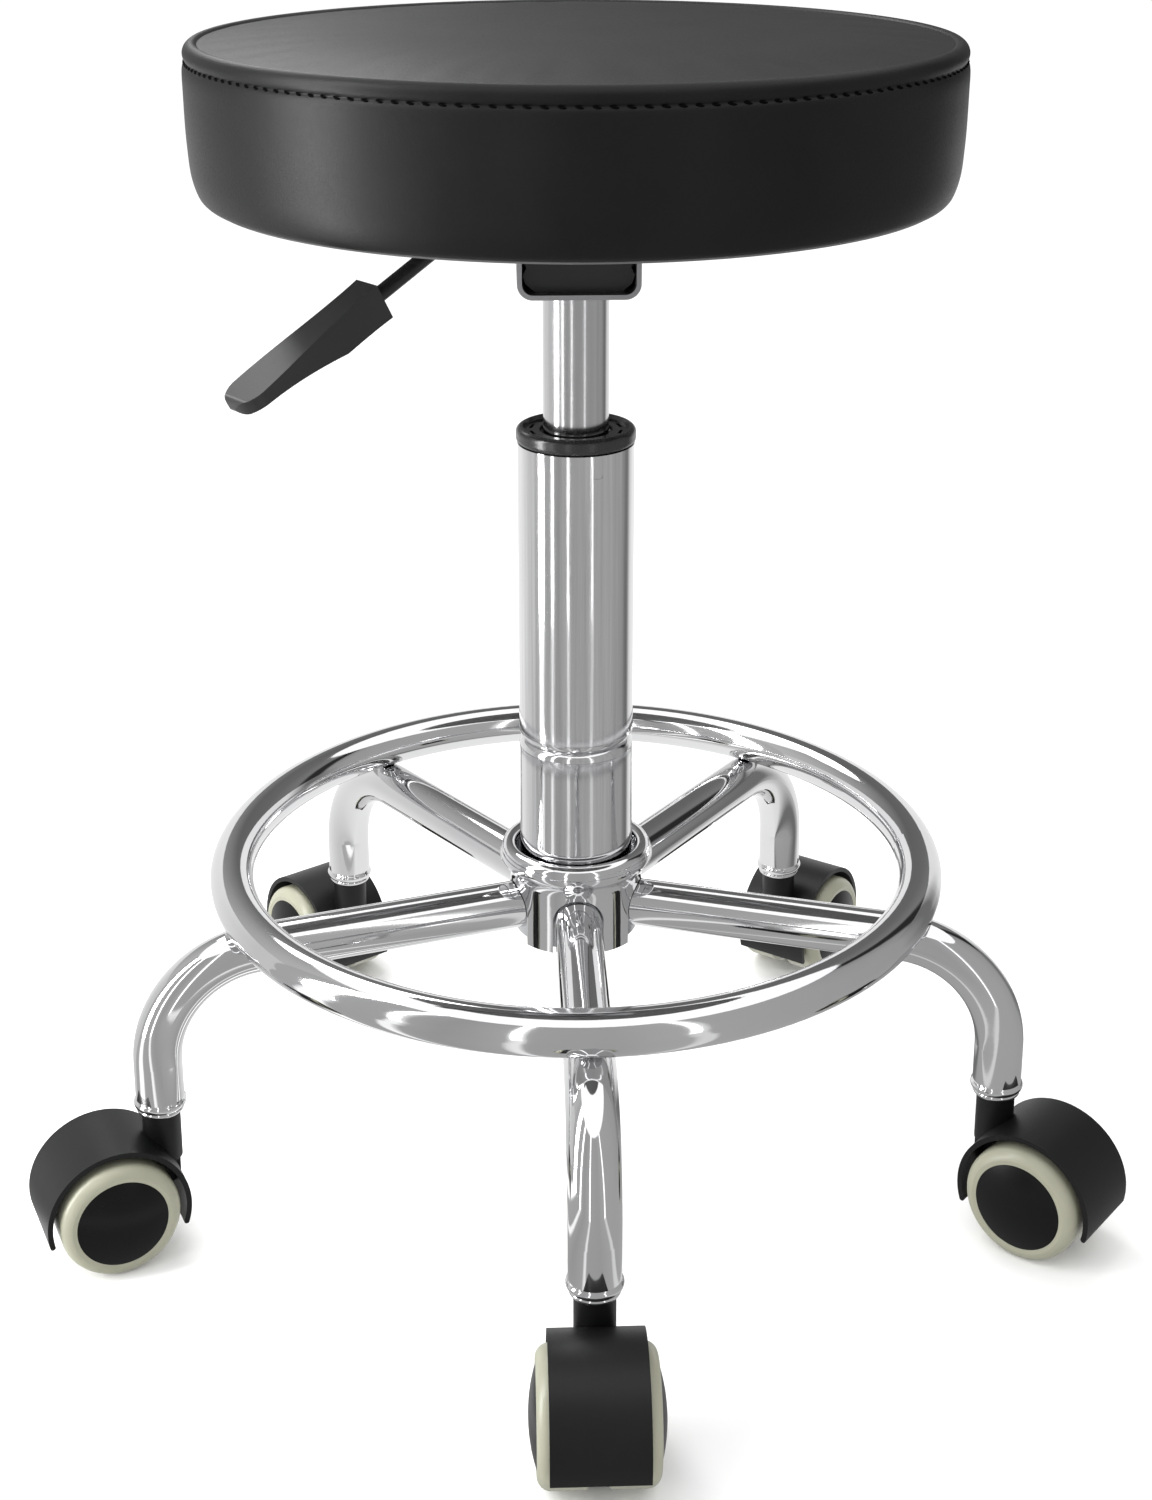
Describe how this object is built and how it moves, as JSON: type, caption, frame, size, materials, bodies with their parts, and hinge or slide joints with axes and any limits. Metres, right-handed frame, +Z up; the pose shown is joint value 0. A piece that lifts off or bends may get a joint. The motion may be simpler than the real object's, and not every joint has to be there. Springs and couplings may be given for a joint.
{
  "type": "adjustable swivel stool",
  "caption": "Round padded stool on a gas-lift column with release lever, tubular star base, foot ring and twin-wheel casters.",
  "frame": {"origin": "on the floor, at the middle of the footprint's box; the column axis stands 18.2 mm behind it (+Y)", "axes": "+Z up through the seat, -Y towards the front leg, +X to the right of someone who faces +Y"},
  "size_m": [0.4787, 0.4591, 0.517],
  "materials": {
    "chrome": "polished chrome plate",
    "bright_steel": "bright zinc",
    "black_plastic": "fine moulded grain",
    "wheel_plastic": "satin moulded",
    "tread": "soft moulded tread",
    "rubber": "matte",
    "bracket_paint": "satin",
    "black_steel": "satin black",
    "leather": "smooth, semi-gloss",
    "foam": "open cell",
    "plywood": "sanded",
    "grey_panel": "matte"
  },
  "bodies": {
    "base": {"column_tube": "chrome", "column_end_plate": "bright_steel", "guide_bush": "black_plastic", "hub_core": "bright_steel", "hub_cover": "chrome", "leg_front": "chrome", "leg_left": "chrome", "leg_rear_left": "chrome", "leg_rear_right": "chrome", "leg_right": "chrome", "foot_ring": "chrome", "leg_end_sockets": "chrome", "caster_stems": "bright_steel"},
    "spindle": {"piston_rod": "bright_steel", "retaining_clip": "bright_steel", "thrust_bearing": "bright_steel", "buffer_ring": "rubber"},
    "seat": {"seat_cover": "leather", "seat_foam": "foam", "seat_board": "plywood", "bottom_panel": "grey_panel", "tee_nuts": "bright_steel", "mounting_bolts": "bright_steel", "seat_bracket": "bracket_paint", "mechanism_block": "black_steel", "lever_pin": "bright_steel", "gas_cylinder": "chrome"},
    "lever": {"lever_rod": "black_steel", "lever_handle": "black_plastic"},
    "release_button": {"release_pin": "bright_steel"},
    "caster_front": {"caster_hood_front": "black_plastic", "caster_axle_front": "bright_steel"},
    "wheel_front_a": {"wheel_core_front_a": "wheel_plastic", "wheel_tread_front_a": "tread"},
    "wheel_front_b": {"wheel_core_front_b": "wheel_plastic", "wheel_tread_front_b": "tread"},
    "caster_left": {"caster_hood_left": "black_plastic", "caster_axle_left": "bright_steel"},
    "wheel_left_a": {"wheel_core_left_a": "wheel_plastic", "wheel_tread_left_a": "tread"},
    "wheel_left_b": {"wheel_core_left_b": "wheel_plastic", "wheel_tread_left_b": "tread"},
    "caster_rear_left": {"caster_hood_rear_left": "black_plastic", "caster_axle_rear_left": "bright_steel"},
    "wheel_rear_left_a": {"wheel_core_rear_left_a": "wheel_plastic", "wheel_tread_rear_left_a": "tread"},
    "wheel_rear_left_b": {"wheel_core_rear_left_b": "wheel_plastic", "wheel_tread_rear_left_b": "tread"},
    "caster_rear_right": {"caster_hood_rear_right": "black_plastic", "caster_axle_rear_right": "bright_steel"},
    "wheel_rear_right_a": {"wheel_core_rear_right_a": "wheel_plastic", "wheel_tread_rear_right_a": "tread"},
    "wheel_rear_right_b": {"wheel_core_rear_right_b": "wheel_plastic", "wheel_tread_rear_right_b": "tread"},
    "caster_right": {"caster_hood_right": "black_plastic", "caster_axle_right": "bright_steel"},
    "wheel_right_a": {"wheel_core_right_a": "wheel_plastic", "wheel_tread_right_a": "tread"},
    "wheel_right_b": {"wheel_core_right_b": "wheel_plastic", "wheel_tread_right_b": "tread"}
  },
  "joints": [
    {"name": "seat_swivel", "type": "hinge", "parent": "base", "child": "spindle", "pos_m": [0, 0.0182, 0.2], "axis": [0, 0, 1], "continuous": true},
    {"name": "seat_height", "type": "slide", "parent": "spindle", "child": "seat", "axis": [0, 0, 1], "range_m": [-0.05, 0.07]},
    {"name": "lever_lift", "type": "hinge", "parent": "seat", "child": "lever", "pos_m": [-0.01278, 0.00857, 0.44], "axis": [-0.6018, 0.7986, 0], "range_deg": [0, 8], "stiffness_Nm_per_rad": 2},
    {"name": "release_press", "type": "slide", "parent": "seat", "child": "release_button", "axis": [0, 0, -1], "range_m": [0, 0.0024]},
    {"name": "caster_swivel_front", "type": "hinge", "parent": "base", "child": "caster_front", "pos_m": [0, -0.1738, 0.057], "axis": [0, 0, 1], "continuous": true},
    {"name": "wheel_spin_front_a", "type": "hinge", "parent": "caster_front", "child": "wheel_front_a", "pos_m": [0, -0.1983, 0.026], "axis": [1, 0, 0], "continuous": true},
    {"name": "wheel_spin_front_b", "type": "hinge", "parent": "caster_front", "child": "wheel_front_b", "pos_m": [0, -0.1983, 0.026], "axis": [1, 0, 0], "continuous": true},
    {"name": "caster_swivel_left", "type": "hinge", "parent": "base", "child": "caster_left", "pos_m": [-0.1826, -0.04113, 0.057], "axis": [0, 0, 1], "continuous": true},
    {"name": "wheel_spin_left_a", "type": "hinge", "parent": "caster_left", "child": "wheel_left_a", "pos_m": [-0.20522, -0.05055, 0.026], "axis": [0.3843, -0.9232, 0], "continuous": true},
    {"name": "wheel_spin_left_b", "type": "hinge", "parent": "caster_left", "child": "wheel_left_b", "pos_m": [-0.20522, -0.05055, 0.026], "axis": [0.3843, -0.9232, 0], "continuous": true},
    {"name": "caster_swivel_rear_left", "type": "hinge", "parent": "base", "child": "caster_rear_left", "pos_m": [-0.11285, 0.17353, 0.057], "axis": [0, 0, 1], "continuous": true},
    {"name": "wheel_spin_rear_left_a", "type": "hinge", "parent": "caster_rear_left", "child": "wheel_rear_left_a", "pos_m": [-0.12726, 0.19335, 0.026], "axis": [-0.809, -0.5878, 0], "continuous": true},
    {"name": "wheel_spin_rear_left_b", "type": "hinge", "parent": "caster_rear_left", "child": "wheel_rear_left_b", "pos_m": [-0.12726, 0.19335, 0.026], "axis": [-0.809, -0.5878, 0], "continuous": true},
    {"name": "caster_swivel_rear_right", "type": "hinge", "parent": "base", "child": "caster_rear_right", "pos_m": [0.11285, 0.17353, 0.057], "axis": [0, 0, 1], "continuous": true},
    {"name": "wheel_spin_rear_right_a", "type": "hinge", "parent": "caster_rear_right", "child": "wheel_rear_right_a", "pos_m": [0.12726, 0.19335, 0.026], "axis": [-0.809, 0.5878, 0], "continuous": true},
    {"name": "wheel_spin_rear_right_b", "type": "hinge", "parent": "caster_rear_right", "child": "wheel_rear_right_b", "pos_m": [0.12726, 0.19335, 0.026], "axis": [-0.809, 0.5878, 0], "continuous": true},
    {"name": "caster_swivel_right", "type": "hinge", "parent": "base", "child": "caster_right", "pos_m": [0.1826, -0.04113, 0.057], "axis": [0, 0, 1], "continuous": true},
    {"name": "wheel_spin_right_a", "type": "hinge", "parent": "caster_right", "child": "wheel_right_a", "pos_m": [0.20137, -0.05688, 0.026], "axis": [0.6428, 0.766, 0], "continuous": true},
    {"name": "wheel_spin_right_b", "type": "hinge", "parent": "caster_right", "child": "wheel_right_b", "pos_m": [0.20137, -0.05688, 0.026], "axis": [0.6428, 0.766, 0], "continuous": true}
  ],
  "couplings": [
    {"joint": "release_press", "follows": "lever_lift", "m_per_rad": 0.016473}
  ]
}
